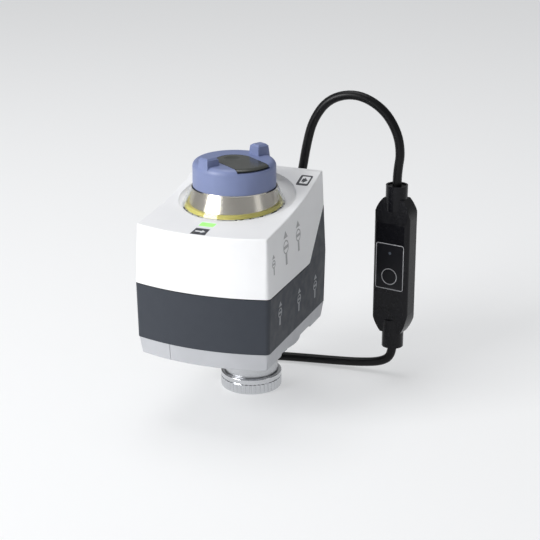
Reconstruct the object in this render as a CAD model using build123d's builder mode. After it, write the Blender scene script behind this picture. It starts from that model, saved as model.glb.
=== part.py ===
from build123d import *
import math
import os

os.makedirs("parts", exist_ok=True)

# An electric valve actuator with a coupling nut, a hand knob and a module in its cable.
# Sizes are in millimetres. The origin is on the bottom face of the coupling nut, on the
# axis of the valve stem. +Z points up the stem, +X to the right, -Y to the front.

# Fits
running_fit = 0.05
press_fit = 0.02
thin_gap = 0.3
round_gap = 0.35

# Housing in plan
body_width = 80.0
front_y = -73.0
front_bulge = 6.5
back_y = 20.5
corner_radius = 2.6
least_radius = 0.8
wall = 2.2
limit = 2 * body_width

# Housing in height
base_bottom_z = 42.5
base_height = 10.5
base_floor = 3.9
base_shelf = 2.4
base_taper = 10.0
base_recess_front_y = -49.0
base_recess_back_y = 0.0
base_recess_depth = 2.0
pad_radius = 38.1
pad_bottom_z = 41.8
band_taper = 1.2
base_edge_round = 0.8
seam_z = 85.3
seam_knee_y = -9.0
seam_back_z = 115.6
knee_radius = 3.0
seam_gap = 0.6
gasket_inset = 0.5
draft_angle = 2.8
rim_z = 134.2
rim_depth = 5.2
ramp_start_y = -46.0
top_skin = 2.4
top_edge_round = 0.8

# Knob and the sloped seat of its collar
knob_y = -24.3
seat_z = 123.4
seat_slope = 0.07
bowl_radius = 30.6
bowl_curve = 6.0
bowl_wall_angle = 75.0
bowl_rise = 14.0
knob_radius = 23.9
knob_bottom_z = 133.6
knob_height = 14.7
knob_round = 3.6
knob_skin = 4.2
knob_skirt = 2.3
knob_hub_radius = 7.0
knob_web_count = 6
knob_web = 1.4
tab_places = ((62.0, 6.0), (242.0, 4.5))
tab_width = 9.2
tab_inner_radius = 14.0
tab_rim_inset = 0.3
tab_taper = 6.0
tab_round = 1.0
tongue_angle = -36.0
tongue_width = 21.6
tongue_depth = 2.2
tongue_undercut = 1.1
tongue_undercut_length = 3.0
dip_radius = 16.0
dip_depth = 0.8
dip_offset = 2.4

# Clear collar, reflector and ring at the foot of the knob
collar_foot_radius = 29.5
collar_top_radius = 24.7
collar_top_gap = 0.4
lens_wall = 1.3
reflector_foot_radius = 26.3
reflector_top_radius = 22.8
reflector_wall = 1.0
ring_height = 1.8
ring_clearance = 0.1

# Coupling nut, neck and spindle
nut_radius = 18.5
nut_height = 10.0
nut_knurl_height = 6.0
nut_groove_height = 0.8
nut_groove_depth = 0.7
nut_round = 1.0
knurl_count = 44
knurl_radius = 1.1
knurl_depth = 0.45
thread_radius = 14.19
thread_length = 5.4
nut_bore_radius = 16.7
neck_radius = 16.2
neck_bottom_z = 6.4
neck_seat_z = 5.6
neck_seat_radius = 13.6
neck_step_z = 26.0
neck_upper_radius = 13.0
neck_step_round = 1.5
neck_bore_radius = 12.2
neck_bore_top_z = 22.0
neck_flange_radius = 18.2
neck_flange = 4.0
neck_hub_radius = 11.0
ring_z = 7.6
ring_section = 1.0
ring_groove_depth = 0.7
ring_groove_gap = 0.1
neck_screw_head_radius = 2.3
neck_screw_circle = 15.8
neck_screw_count = 3
neck_screw_start = 30.0
spindle_radius = 3.5
spindle_top_z = 92.0
coupler_radius = 7.0
coupler_flat = 5.5
coupler_bottom_z = 23.8
coupler_height = 20.0
coupler_socket = 8.0
coupler_chamfer = 1.0

# Gear train
plate_thickness = 2.0
gear_plate_z = 57.0
gear_plate_front_y = -67.0
gear_plate_back_y = 14.5
gear_plate_half_width = 35.0
plate_corner = 3.0
motor_plate_z = 77.0
motor_plate_left_x = -36.5
motor_plate_right_x = 20.0
motor_plate_front_y = -47.5
motor_plate_back_y = 13.5
pressure_angle = 20.0
tooth_tip = 0.8
tooth_root = 1.15
backlash = 0.16
tooth_steps = 4
drive_teeth = 34
knob_teeth = 26
drive_pinion_teeth = 14
wheel_teeth = 44
motor_teeth = 14
fine_size = 0.6
gear_bottom_z = 61.0
gear_face = 8.0
wheel_bottom_z = 71.2
wheel_face = 3.0
pinion_bottom_z = 70.6
pinion_face = 5.6
drive_journal_radius = 7.0
drive_hub_radius = 5.3
drive_pivot_radius = 4.7
washer_radius = 7.2
washer_thickness = 0.5
bush_wall = 2.0
bush_flange_width = 2.4
intermediate_direction = 200.0
motor_direction = -100.0
axle_radius = 1.5
motor_radius = 14.0
motor_height = 26.0
motor_shaft_radius = 1.25
motor_shaft_engagement = 9.0
knob_shaft_radius = 4.0
knob_shaft_engagement = 6.5
post_radius = 2.2
post_rivet_radius = 1.4
post_places = ((-24.0, 11.0), (16.5, 10.0), (14.0, -37.0), (-29.0, -43.5))

# Screws
screw_radius = 1.5
screw_head_radius = 2.75
screw_head_height = 1.8
small_screw_radius = 1.2
small_head_radius = 2.4
slot_width = 0.8
slot_depth = 0.7

# Circuit board and what it carries
board_z = 108.8
board_thickness = 1.6
board_half_width = 34.0
board_front_y = -69.0
board_back_y = 12.0
board_shaft_hole = 5.0
pillar_radius = 2.8
pillar_stud_length = 6.0
pillar_boss_radius = 3.5
pillar_places = ((-31.0, 10.0), (31.0, 10.0), (-12.0, -63.0), (31.0, -63.0))
capacitor_radius = 5.5
capacitor_height = 20.0
capacitor_places = ((22.0, -34.0), (22.0, -47.0))
relay_size = (16.0, 20.0, 15.0)
relay_place = (20.0, -12.0)
block_size = (24.0, 9.0, 12.0)
block_place = (-14.0, -52.0)
block_ways = 5
block_pitch = 4.6
block_hole_radius = 1.5
block_hole_depth = 8.0
window_place = (-0.5, -62.2)
window_size = (8.6, 5.2)
window_flange = 1.2
led_size = (3.0, 3.0, 1.4)

# Housing screws, from below, and the bosses that take them
boss_radius = 3.6
boss_rib = 4.0
boss_places = ((-34.0, 2.0), (34.0, 2.0), (-34.0, -37.0), (34.0, -52.0))
screw_grip = 8.0
screw_tip_room = 2.0

# Cover over the terminal chamber, at the front left of the base
terminal_cover_x = -18.2
terminal_cover_y = -42.0
terminal_screw_place = (-28.5, -58.0)
terminal_tab = 5.0
terminal_boss_radius = 4.0

# Blanked cable entries and the entry of the actuator's own cable
entry_place = (24.6, -34.6)
entry_radius = 10.0
entry_flange_radius = 11.2
entry_flange = 1.4
entry_inside = 2.4
entry_slot = (14.0, 1.6)
gland_place = (-26.0, -8.0)
gland_radius = 5.6
gland_flange_radius = 7.4
gland_flange = 1.6
gland_inside = 2.0
gland_length = 9.8
gland_tip_radius = 3.9

# Module in the cable
module_x = 76.4
module_y = 44.0
module_turn = -10.0
module_bottom_z = 19.6
module_top_z = 122.8
module_width = 23.4
module_depth = 13.6
module_edge = 2.8
module_collar_radius = 6.6
module_collar_top = 8.0
module_collar_bottom = 9.6
module_shoulder_top = 15.0
module_shoulder_bottom = 17.0
module_shoulder_depth = 9.4
module_shoulder_bulge = 1.3
module_wall = 1.6
module_seam = 2.3
collar_recess = 1.0
collar_lip = 1.1
label_width = 18.6
label_bottom_z = 58.4
label_top_z = 87.4
label_corner = 1.4
label_proud = 0.25
button_z = 66.7
button_radius = 4.6
button_travel = 0.8
button_flange_width = 0.9
button_flange = 0.9
button_proud = 0.45
button_ring_radius = 5.4
led_z = 81.5
led_radius = 0.9
module_board_thickness = 1.2
module_board_margin = 0.5
module_board_depth = -0.5
module_board_bottom = 53.0
module_board_top = 93.0
switch_size = 6.0
switch_gap = 0.2
module_screw_z = (48.0, 98.0)
module_screw_x = 7.0
module_screw_boss = 3.0
module_screw_depth = 17.0
module_wire_radius = 3.0
module_rib_z = (56.0, 90.0)
module_rib_size = (12.0, 3.0)

# Cable
cable_radius = 2.75
cable = 2 * cable_radius
corner_share = 0.45
coil_x = -48.0
coil_y = 90.0
coil_mean_radius = 31.0
coil_layers = 2
coil_columns = 2
tie_thickness = 0.8
tie_width = 9.0
tie_angle = 200.0
tie_gap = 0.6
coil_entry_angle = 0.0
coil_exit_angle = 215.0
coil_notch = 42.0
wire_radius = 0.9
wire_length = 14.0
wire_spread = 14.0
wire_pitch = 1.75
wire_count = 3
ferrule_radius = 0.6
ferrule_length = 6.0

# Places and sizes that follow from the values above
base_top_z = base_bottom_z + base_height
floor_top_z = base_bottom_z + base_floor
band_growth = (seam_z - base_top_z) * math.tan(math.radians(band_taper))
base_inset = base_height * math.tan(math.radians(base_taper))
knob_top_z = knob_bottom_z + knob_height
collar_top_z = knob_bottom_z - collar_top_gap
gear_plate_top_z = gear_plate_z + plate_thickness
motor_plate_top_z = motor_plate_z + plate_thickness
bush_flange = gear_bottom_z - gear_plate_top_z - running_fit
gear_size = 2 * abs(knob_y) / (drive_teeth + knob_teeth)
coil_outer_radius = coil_mean_radius + coil_columns * cable_radius
coil_inner_radius = coil_mean_radius - coil_columns * cable_radius
coil_height = coil_layers * cable


def polar(radius, degrees, centre=(0.0, 0.0)):
    """A point at this distance and direction from a centre."""
    angle = math.radians(degrees)
    return (centre[0] + radius * math.cos(angle), centre[1] + radius * math.sin(angle))


intermediate_place = polar(
    (drive_teeth + drive_pinion_teeth) * gear_size / 2, intermediate_direction
)
motor_place = polar(
    (wheel_teeth + motor_teeth) * fine_size / 2, motor_direction, intermediate_place
)


def outline(inset):
    """The housing in plan, with its walls moved inwards."""
    half = body_width / 2 - inset
    front = front_y + inset
    back = back_y - inset
    with BuildSketch() as plan:
        with BuildLine():
            ThreePointArc((-half, front), (0, front - front_bulge), (half, front))
            Polyline((half, front), (half, back), (-half, back), (-half, front))
        make_face()
        fillet(plan.vertices(), max(corner_radius - inset, least_radius))
    return plan.sketch


def upper_block(inset):
    """A solid of the tapered upper housing, with its walls moved inwards."""
    with BuildPart() as block:
        with BuildSketch(Plane.XY.offset(base_top_z)):
            add(outline(inset))
        extrude(amount=seam_z - base_top_z, taper=-band_taper)
        with BuildSketch(Plane.XY.offset(seam_z)):
            add(outline(inset - band_growth))
        extrude(amount=rim_z - seam_z, taper=draft_angle)
    return block.part


def under_seam(shift):
    """Everything below the seam of the cover, raised by shift."""
    with BuildPart() as region:
        with BuildSketch(Plane.YZ) as side:
            with BuildLine():
                rise = (seam_back_z - seam_z) / (back_y - seam_knee_y)
                Polyline(
                    (-limit, 0),
                    (-limit, seam_z + shift),
                    (seam_knee_y, seam_z + shift),
                    (limit, seam_z + shift + rise * (limit - seam_knee_y)),
                    (limit, 0),
                    close=True,
                )
            make_face()
            knee = side.vertices().sort_by_distance((0, seam_knee_y, seam_z + shift))[0]
            fillet(knee, knee_radius)
        extrude(amount=body_width, both=True)
    return region.part


def under_top(drop):
    """Everything below the top of the cover, lowered by drop."""
    start_z = seat_z + seat_slope * (ramp_start_y - knob_y) - drop
    front_z = seat_z + seat_slope * (-limit - knob_y) - drop
    with BuildPart() as region:
        with BuildSketch(Plane.YZ):
            with BuildLine():
                Polyline(
                    (back_y - rim_depth, rim_z - drop),
                    (limit, rim_z - drop),
                    (limit, 0),
                    (-limit, 0),
                    (-limit, front_z),
                    (ramp_start_y, start_z),
                )
                TangentArc(
                    (ramp_start_y, start_z),
                    (back_y - rim_depth, rim_z - drop),
                    tangent=(1, seat_slope),
                )
            make_face()
        extrude(amount=body_width, both=True)
    return region.part


seat_plane = Plane(
    origin=(0, knob_y, seat_z), x_dir=(1, 0, 0), z_dir=(0, -seat_slope, 1)
)
seat_section = Plane(
    origin=(0, knob_y, seat_z), x_dir=(1, 0, 0), z_dir=(0, -1, -seat_slope)
)
knob_section = Plane(origin=(0, knob_y, 0), x_dir=(1, 0, 0), z_dir=(0, -1, 0))
knob_axis = Axis((0, knob_y, 0), (0, 0, 1))


def bowl(grow):
    """The space round the collar that is cut into the ramp, grown by grow."""
    turn = math.radians(bowl_wall_angle)
    radius = bowl_radius + grow
    curve_end = (
        radius + bowl_curve * math.sin(turn),
        bowl_curve * (1 - math.cos(turn)) - grow,
    )
    top = (curve_end[0] + bowl_rise / math.tan(turn), curve_end[1] + bowl_rise)
    with BuildPart() as space:
        with BuildSketch(seat_section):
            with BuildLine():
                Polyline((0, top[1]), (0, -grow), (radius, -grow))
                TangentArc((radius, -grow), curve_end, tangent=(1, 0))
                Polyline(curve_end, top, (0, top[1]))
            make_face()
        revolve(axis=Axis(seat_plane.origin, seat_plane.z_dir))
    return space.part


def seam_height(y):
    """The height of the seam between the band and the cover at this y."""
    rise = (seam_back_z - seam_z) / (back_y - seam_knee_y)
    return seam_z + max(0, y - seam_knee_y) * rise


def screws(places, head_z, length, radius, head_radius, up=1):
    """Slotted screws whose heads seat at head_z, with shanks towards up."""
    with BuildPart() as group:
        for x, y in places:
            with BuildSketch(Plane.XY.offset(head_z)):
                with Locations((x, y)):
                    Circle(head_radius)
            extrude(amount=-up * screw_head_height)
            with BuildSketch(Plane.XY.offset(head_z)):
                with Locations((x, y)):
                    Circle(radius)
            extrude(amount=up * length)
            with BuildSketch(Plane.XY.offset(head_z - up * screw_head_height)):
                with Locations((x, y)):
                    Rectangle(2 * head_radius, slot_width)
            extrude(amount=up * slot_depth, mode=Mode.SUBTRACT)
    return group.part


def drill(places, bottom, height, radius):
    """Upright holes or pins at these places, in the open part."""
    with BuildPart(mode=Mode.PRIVATE) as pins:
        with BuildSketch(Plane.XY.offset(bottom)):
            with Locations(*places):
                Circle(radius)
        extrude(amount=height)
    return pins.part


def bosses(bottom, height, grow=0):
    """The columns round the long screws, each with a rib to the wall beside it."""
    with BuildPart() as columns:
        with BuildSketch(Plane.XY.offset(bottom)):
            for x, y in boss_places:
                with Locations((x, y)):
                    Circle(boss_radius + grow)
                side = math.copysign(body_width / 2, x)
                with Locations(((x + side) / 2, y)):
                    Rectangle(abs(side - x), boss_rib + 2 * grow)
        extrude(amount=height)
    return columns.part


# White top cover
with BuildPart() as top_cover:
    add(upper_block(0))
    add(under_top(0), mode=Mode.INTERSECT)
    top_rim = top_cover.edges().filter_by(lambda edge: edge.center().Z > seam_back_z)
    fillet(top_rim.sort_by(Axis.Y)[0], top_edge_round)
    add(bowl(0), mode=Mode.SUBTRACT)
    with BuildPart(mode=Mode.PRIVATE) as cavity:
        add(upper_block(wall))
        add(under_top(top_skin), mode=Mode.INTERSECT)
        add(bowl(top_skin), mode=Mode.SUBTRACT)
        add(bosses(0, limit), mode=Mode.SUBTRACT)
    add(cavity.part, mode=Mode.SUBTRACT)
    add(under_seam(seam_gap), mode=Mode.SUBTRACT)
    for place in boss_places:
        hole_top = seam_height(place[1]) + seam_gap + screw_grip + screw_tip_room
        add(drill([place], 0, hole_top, screw_radius + press_fit), mode=Mode.SUBTRACT)
    guide_bottom = seat_z - top_skin
    guide_height = collar_top_z - collar_top_gap - guide_bottom
    add(drill([(0, knob_y)], guide_bottom, guide_height, knob_hub_radius + bush_wall))
    add(
        drill([(0, knob_y)], 0, limit, knob_hub_radius + running_fit),
        mode=Mode.SUBTRACT,
    )
    with BuildSketch(Plane.XY):
        with Locations(window_place):
            Rectangle(window_size[0] + 2 * press_fit, window_size[1] + 2 * press_fit)
    extrude(amount=limit, mode=Mode.SUBTRACT)
top_cover.part.label = "top_cover"
export_step(top_cover.part, "parts/top_cover.step")

# Dark band of the housing, which rises to the back corners
with BuildPart() as mid_housing:
    add(upper_block(0))
    add(under_seam(0), mode=Mode.INTERSECT)
    with BuildPart(mode=Mode.PRIVATE) as band_room:
        add(upper_block(wall))
        add(bosses(0, limit), mode=Mode.SUBTRACT)
    add(band_room.part, mode=Mode.SUBTRACT)
    add(drill(boss_places, 0, limit, screw_radius + running_fit), mode=Mode.SUBTRACT)
mid_housing.part.label = "mid_housing"
export_step(mid_housing.part, "parts/mid_housing.step")

# Black gasket in the seam between the band and the cover
with BuildPart() as housing_gasket:
    add(upper_block(gasket_inset))
    add(under_seam(seam_gap), mode=Mode.INTERSECT)
    add(under_seam(0), mode=Mode.SUBTRACT)
    with BuildPart(mode=Mode.PRIVATE) as gasket_room:
        add(upper_block(wall))
        add(bosses(0, limit), mode=Mode.SUBTRACT)
    add(gasket_room.part, mode=Mode.SUBTRACT)
    add(drill(boss_places, 0, limit, screw_radius + running_fit), mode=Mode.SUBTRACT)
housing_gasket.part.label = "housing_gasket"
export_step(housing_gasket.part, "parts/housing_gasket.step")


def base_shell():
    """The whole light base, before the terminal cover is cut from it."""
    with BuildPart() as shell:
        with BuildSketch(Plane.XY.offset(base_bottom_z)):
            add(outline(base_inset))
        extrude(amount=base_height, taper=-base_taper)
        bottom_rim = shell.faces().sort_by(Axis.Z)[0].edges()
        fillet(bottom_rim, base_edge_round)
        with BuildSketch(Plane.XY.offset(base_bottom_z)):
            with Locations((0, (base_recess_front_y + base_recess_back_y) / 2)):
                Rectangle(body_width, base_recess_back_y - base_recess_front_y)
        extrude(amount=base_recess_depth, mode=Mode.SUBTRACT)
        add(drill([(0, knob_y)], pad_bottom_z, floor_top_z - pad_bottom_z, pad_radius))
        with BuildSketch(Plane.XY.offset(floor_top_z)):
            add(outline(base_inset + wall))
        extrude(amount=base_height, mode=Mode.SUBTRACT)
    return shell.part


def terminal_region(gap):
    """The corner of the base that the terminal cover takes."""
    with BuildPart() as region:
        with BuildSketch(Plane.XY):
            with BuildLine():
                Polyline(
                    (-limit, -limit),
                    (terminal_cover_x + gap, -limit),
                    (terminal_cover_x + gap, terminal_cover_y + gap),
                    (-limit, terminal_cover_y + gap),
                    close=True,
                )
            make_face()
        extrude(amount=limit)
    return region.part


# Light base, with the floor that carries the neck, the plate and the cable entries
with BuildPart() as base_tray:
    add(base_shell())
    add(terminal_region(thin_gap), mode=Mode.SUBTRACT)
    with BuildPart(mode=Mode.PRIVATE) as columns:
        add(bosses(floor_top_z, base_height - base_floor))
        add(drill(pillar_places, floor_top_z, base_height - base_floor,
                  pillar_boss_radius))
        with BuildSketch(Plane.XY.offset(base_bottom_z)):
            add(outline(base_inset))
        extrude(amount=base_height, taper=-base_taper, mode=Mode.INTERSECT)
    add(columns.part)
    add(drill(pillar_places, floor_top_z, gear_plate_z - floor_top_z,
              pillar_boss_radius))
    with BuildSketch(Plane.XY.offset(floor_top_z)):
        with Locations(terminal_screw_place):
            Circle(terminal_boss_radius)
        shelf_x = (terminal_cover_x + terminal_screw_place[0]) / 2 + thin_gap
        with Locations((shelf_x, terminal_screw_place[1])):
            Rectangle(terminal_cover_x - terminal_screw_place[0] + terminal_tab,
                      2 * terminal_boss_radius)
    extrude(amount=base_shelf)
    add(drill(boss_places, 0, limit, screw_radius + running_fit), mode=Mode.SUBTRACT)
    add(drill(boss_places, 0, base_bottom_z + screw_head_height,
              screw_head_radius + round_gap), mode=Mode.SUBTRACT)
    add(drill(pillar_places, gear_plate_top_z - pillar_stud_length - screw_tip_room,
              limit, screw_radius + press_fit), mode=Mode.SUBTRACT)
    add(drill([terminal_screw_place], 0, limit, small_screw_radius + press_fit),
        mode=Mode.SUBTRACT)
    add(drill([(0, 0)], 0, limit, neck_upper_radius + running_fit), mode=Mode.SUBTRACT)
    with BuildSketch(Plane.XY):
        with PolarLocations(neck_screw_circle, neck_screw_count, neck_screw_start):
            Circle(screw_radius + running_fit)
        with Locations(entry_place):
            Circle(entry_radius + running_fit)
        with Locations(gland_place):
            Circle(gland_radius + running_fit)
    extrude(amount=floor_top_z + thin_gap, mode=Mode.SUBTRACT)
base_tray.part.label = "base_tray"
export_step(base_tray.part, "parts/base_tray.step")

# Cover of the terminal chamber, held by one screw under the shelf
with BuildPart() as terminal_cover:
    add(base_shell())
    add(terminal_region(0), mode=Mode.INTERSECT)
    add(drill([terminal_screw_place], 0, limit, small_screw_radius + running_fit),
        mode=Mode.SUBTRACT)
    add(drill([terminal_screw_place], 0, base_bottom_z + screw_head_height / 2,
              small_head_radius + round_gap), mode=Mode.SUBTRACT)
terminal_cover.part.label = "terminal_cover"
export_step(terminal_cover.part, "parts/terminal_cover.step")

with BuildPart() as terminal_screw:
    add(screws([terminal_screw_place], base_bottom_z + screw_head_height / 2,
               base_floor + base_shelf - screw_head_height / 2, small_screw_radius,
               small_head_radius))
terminal_screw.part.label = "terminal_screw"
export_step(terminal_screw.part, "parts/terminal_screw.step")

# Four long screws that clamp base, band, gasket and cover
with BuildPart() as cover_screws:
    for place in boss_places:
        head_seat = base_bottom_z + screw_head_height
        reach = seam_height(place[1]) + seam_gap + screw_grip - head_seat
        add(screws([place], head_seat, reach, screw_radius, screw_head_radius))
cover_screws.part.label = "cover_screws"
export_step(cover_screws.part, "parts/cover_screws.step")


def coupler_outline(grow):
    """The round with two flats that keeps the spindle from turning."""
    with BuildSketch() as shape:
        Circle(coupler_radius + grow)
        Rectangle(2 * (coupler_flat + grow), 4 * coupler_radius, mode=Mode.INTERSECT)
    return shape.sketch


# Neck between the base and the coupling nut, with the guide of the coupler
with BuildPart() as neck:
    add(drill([(0, 0)], neck_bottom_z, neck_step_z - neck_bottom_z, neck_radius))
    fillet(neck.faces().sort_by(Axis.Z)[-1].edges(), neck_step_round)
    add(drill([(0, 0)], neck_seat_z, neck_bottom_z - neck_seat_z, neck_seat_radius))
    add(drill([(0, 0)], neck_step_z, floor_top_z - neck_step_z, neck_upper_radius))
    with BuildSketch(Plane.XY.offset(floor_top_z)):
        Circle(neck_flange_radius)
        add(outline(base_inset + wall + round_gap), mode=Mode.INTERSECT)
    extrude(amount=neck_flange)
    add(drill([(0, 0)], floor_top_z, gear_plate_z - floor_top_z, neck_hub_radius))
    add(drill([(0, 0)], neck_seat_z, neck_bore_top_z - neck_seat_z, neck_bore_radius),
        mode=Mode.SUBTRACT)
    with BuildSketch(Plane.XY.offset(neck_bore_top_z)):
        add(coupler_outline(running_fit))
    extrude(amount=gear_plate_z - neck_bore_top_z, mode=Mode.SUBTRACT)
    with BuildSketch(Plane.XY.offset(floor_top_z)):
        with PolarLocations(neck_screw_circle, neck_screw_count, neck_screw_start):
            Circle(screw_radius + press_fit)
    extrude(amount=neck_flange, mode=Mode.SUBTRACT)
    with BuildSketch(Plane.XY.offset(ring_z)):
        Circle(neck_radius + thin_gap)
        Circle(neck_radius - ring_groove_depth, mode=Mode.SUBTRACT)
    extrude(amount=ring_section, mode=Mode.SUBTRACT)
neck.part.label = "neck"
export_step(neck.part, "parts/neck.step")

with BuildPart() as neck_screws:
    with PolarLocations(neck_screw_circle, neck_screw_count, neck_screw_start) as circle:
        neck_screw_places = [(spot.position.X, spot.position.Y) for spot in circle]
    add(screws(neck_screw_places, pad_bottom_z, floor_top_z + neck_flange - pad_bottom_z,
               screw_radius, neck_screw_head_radius))
neck_screws.part.label = "neck_screws"
export_step(neck_screws.part, "parts/neck_screws.step")

# Snap ring that holds the nut on the neck and lets it turn
ring_outer_radius = nut_bore_radius + ring_groove_depth - ring_groove_gap
with BuildPart() as retaining_ring:
    with BuildSketch(Plane.XY.offset(ring_z)):
        Circle(ring_outer_radius)
        Circle(neck_radius - ring_groove_depth, mode=Mode.SUBTRACT)
    extrude(amount=ring_section)
retaining_ring.part.label = "retaining_ring"
export_step(retaining_ring.part, "parts/retaining_ring.step")

# Coupling nut, with a knurled lower band and a smooth upper band
groove_top_z = nut_knurl_height + nut_groove_height
ring_groove_bottom = ring_z - ring_groove_gap
ring_groove_top = ring_z + ring_section + ring_groove_gap
with BuildPart() as union_nut:
    with BuildSketch(Plane.XZ):
        with BuildLine():
            Polyline(
                (thread_radius, 0),
                (nut_radius, 0),
                (nut_radius, nut_knurl_height),
                (nut_radius - nut_groove_depth, nut_knurl_height),
                (nut_radius - nut_groove_depth, groove_top_z),
                (nut_radius, groove_top_z),
                (nut_radius, nut_height),
                (nut_bore_radius, nut_height),
                (nut_bore_radius, ring_groove_top),
                (nut_bore_radius + ring_groove_depth, ring_groove_top),
                (nut_bore_radius + ring_groove_depth, ring_groove_bottom),
                (nut_bore_radius, ring_groove_bottom),
                (nut_bore_radius, thread_length),
                (thread_radius, thread_length),
                close=True,
            )
        make_face()
    revolve(axis=Axis.Z)
    for end in (-1, 0):
        rims = union_nut.edges().filter_by(GeomType.CIRCLE).group_by(Axis.Z)[end]
        fillet(rims.sort_by(lambda edge: edge.radius)[-1], nut_round)
    with BuildSketch(Plane.XY):
        with PolarLocations(nut_radius + knurl_radius - knurl_depth, knurl_count):
            Circle(knurl_radius)
    extrude(amount=nut_knurl_height, mode=Mode.SUBTRACT)
union_nut.part.label = "union_nut"
export_step(union_nut.part, "parts/union_nut.step")

# Coupler that pushes the valve stem, and the spindle that is screwed into it
coupler_top_z = coupler_bottom_z + coupler_height
with BuildPart() as stem_coupler:
    with BuildSketch(Plane.XY.offset(coupler_bottom_z)):
        add(coupler_outline(0))
    extrude(amount=coupler_height)
    chamfer(stem_coupler.faces().sort_by(Axis.Z)[0].edges(), coupler_chamfer)
    add(drill([(0, 0)], coupler_top_z - coupler_socket, coupler_socket, spindle_radius),
        mode=Mode.SUBTRACT)
stem_coupler.part.label = "stem_coupler"
export_step(stem_coupler.part, "parts/stem_coupler.step")

with BuildPart() as spindle:
    add(drill([(0, 0)], coupler_top_z - coupler_socket,
              spindle_top_z - coupler_top_z + coupler_socket, spindle_radius))
    chamfer(spindle.faces().sort_by(Axis.Z)[-1].edges(), spindle_radius / 4)
spindle.part.label = "spindle"
export_step(spindle.part, "parts/spindle.step")


def involute(angle):
    return math.tan(angle) - angle


def gear_outline(teeth, size, tooth_at):
    """A spur gear in plan, with one tooth pointing at the angle tooth_at."""
    pitch_radius = teeth * size / 2
    base_radius = pitch_radius * math.cos(math.radians(pressure_angle))
    root_radius = pitch_radius - tooth_root * size
    tip_radius = pitch_radius + tooth_tip * size
    half_pitch_tooth = (math.pi * size - backlash) / 4 / pitch_radius
    half_base_tooth = half_pitch_tooth + involute(math.radians(pressure_angle))
    flank = []
    for step in range(tooth_steps + 1):
        share = step / tooth_steps
        radius = base_radius + (tip_radius - base_radius) * share
        half_angle = half_base_tooth - involute(math.acos(base_radius / radius))
        flank.append((radius, half_angle))
    flank.insert(0, (root_radius - backlash, half_base_tooth))
    right = [(r * math.cos(a), -r * math.sin(a)) for r, a in flank]
    left = [(r * math.cos(a), r * math.sin(a)) for r, a in reversed(flank)]
    with BuildSketch() as tooth:
        with BuildLine():
            Polyline(*right, *left, close=True)
        make_face()
    with BuildSketch() as gear:
        Circle(root_radius)
        with PolarLocations(0, teeth, start_angle=tooth_at):
            add(tooth.sketch)
    return gear.sketch


def meshing_tooth(teeth, tooth_at, direction, mate_teeth):
    """The angle of a tooth on a mate that lies in this direction and meshes at rest."""
    pitch = 360 / teeth
    lead = (tooth_at - direction + pitch / 2) % pitch - pitch / 2
    return direction + 180 - lead * teeth / mate_teeth + 180 / mate_teeth


drive_tooth = -90.0
knob_gear_tooth = meshing_tooth(drive_teeth, drive_tooth, -90.0, knob_teeth)
pinion_tooth = meshing_tooth(
    drive_teeth, drive_tooth, intermediate_direction, drive_pinion_teeth
)
wheel_tooth = motor_direction
motor_tooth = meshing_tooth(wheel_teeth, wheel_tooth, motor_direction, motor_teeth)


def gear_blank(teeth, size, tooth_at, place, bottom, height):
    """A solid spur gear at its place."""
    with BuildPart() as blank:
        with BuildSketch(Plane.XY.offset(bottom)):
            with Locations(place):
                add(gear_outline(teeth, size, tooth_at))
        extrude(amount=height)
    return blank.part


# Gear on the spindle nut, between its lower journal and its upper hub
drive_hub_top = motor_plate_z - washer_thickness - running_fit
with BuildPart() as drive_gear:
    add(gear_blank(drive_teeth, gear_size, drive_tooth, (0, 0), gear_bottom_z, gear_face))
    add(drill([(0, 0)], gear_plate_z + running_fit, gear_bottom_z - gear_plate_z,
              drive_journal_radius))
    add(drill([(0, 0)], gear_bottom_z, drive_hub_top - gear_bottom_z, drive_hub_radius))
    add(drill([(0, 0)], drive_hub_top, motor_plate_top_z - drive_hub_top,
              drive_pivot_radius))
    add(drill([(0, 0)], 0, limit, spindle_radius + running_fit), mode=Mode.SUBTRACT)
drive_gear.part.label = "drive_gear"
export_step(drive_gear.part, "parts/drive_gear.step")

# Flanged bush that carries the drive gear in the lower plate
with BuildPart() as drive_bush:
    add(drill([(0, 0)], gear_plate_z, plate_thickness, drive_journal_radius + bush_wall))
    add(drill([(0, 0)], gear_plate_top_z, bush_flange,
              drive_journal_radius + bush_wall + bush_flange_width))
    add(drill([(0, 0)], 0, limit, drive_journal_radius + running_fit), mode=Mode.SUBTRACT)
drive_bush.part.label = "drive_bush"
export_step(drive_bush.part, "parts/drive_bush.step")

# Thrust washer between the drive gear and the upper plate
with BuildPart() as thrust_washer:
    add(drill([(0, 0)], motor_plate_z - washer_thickness, washer_thickness, washer_radius))
    add(drill([(0, 0)], 0, limit, drive_pivot_radius + running_fit), mode=Mode.SUBTRACT)
thrust_washer.part.label = "thrust_washer"
export_step(thrust_washer.part, "parts/thrust_washer.step")

# Lower steel plate, which rests on the bosses of the base
knob_bush_radius = knob_shaft_radius + bush_wall
with BuildPart() as gear_plate:
    with BuildSketch(Plane.XY.offset(gear_plate_z)):
        plate_depth = gear_plate_back_y - gear_plate_front_y
        with Locations((0, (gear_plate_back_y + gear_plate_front_y) / 2)):
            RectangleRounded(2 * gear_plate_half_width, plate_depth, plate_corner)
    extrude(amount=plate_thickness)
    add(bosses(0, limit, thin_gap), mode=Mode.SUBTRACT)
    add(drill(pillar_places, 0, limit, screw_radius + running_fit), mode=Mode.SUBTRACT)
    add(drill(post_places, 0, limit, post_rivet_radius + press_fit), mode=Mode.SUBTRACT)
    add(drill([(0, 0)], 0, limit, drive_journal_radius + bush_wall + press_fit),
        mode=Mode.SUBTRACT)
    add(drill([(0, knob_y)], 0, limit, knob_bush_radius + press_fit), mode=Mode.SUBTRACT)
    add(drill([intermediate_place], 0, limit, axle_radius + press_fit),
        mode=Mode.SUBTRACT)
gear_plate.part.label = "gear_plate"
export_step(gear_plate.part, "parts/gear_plate.step")

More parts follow.
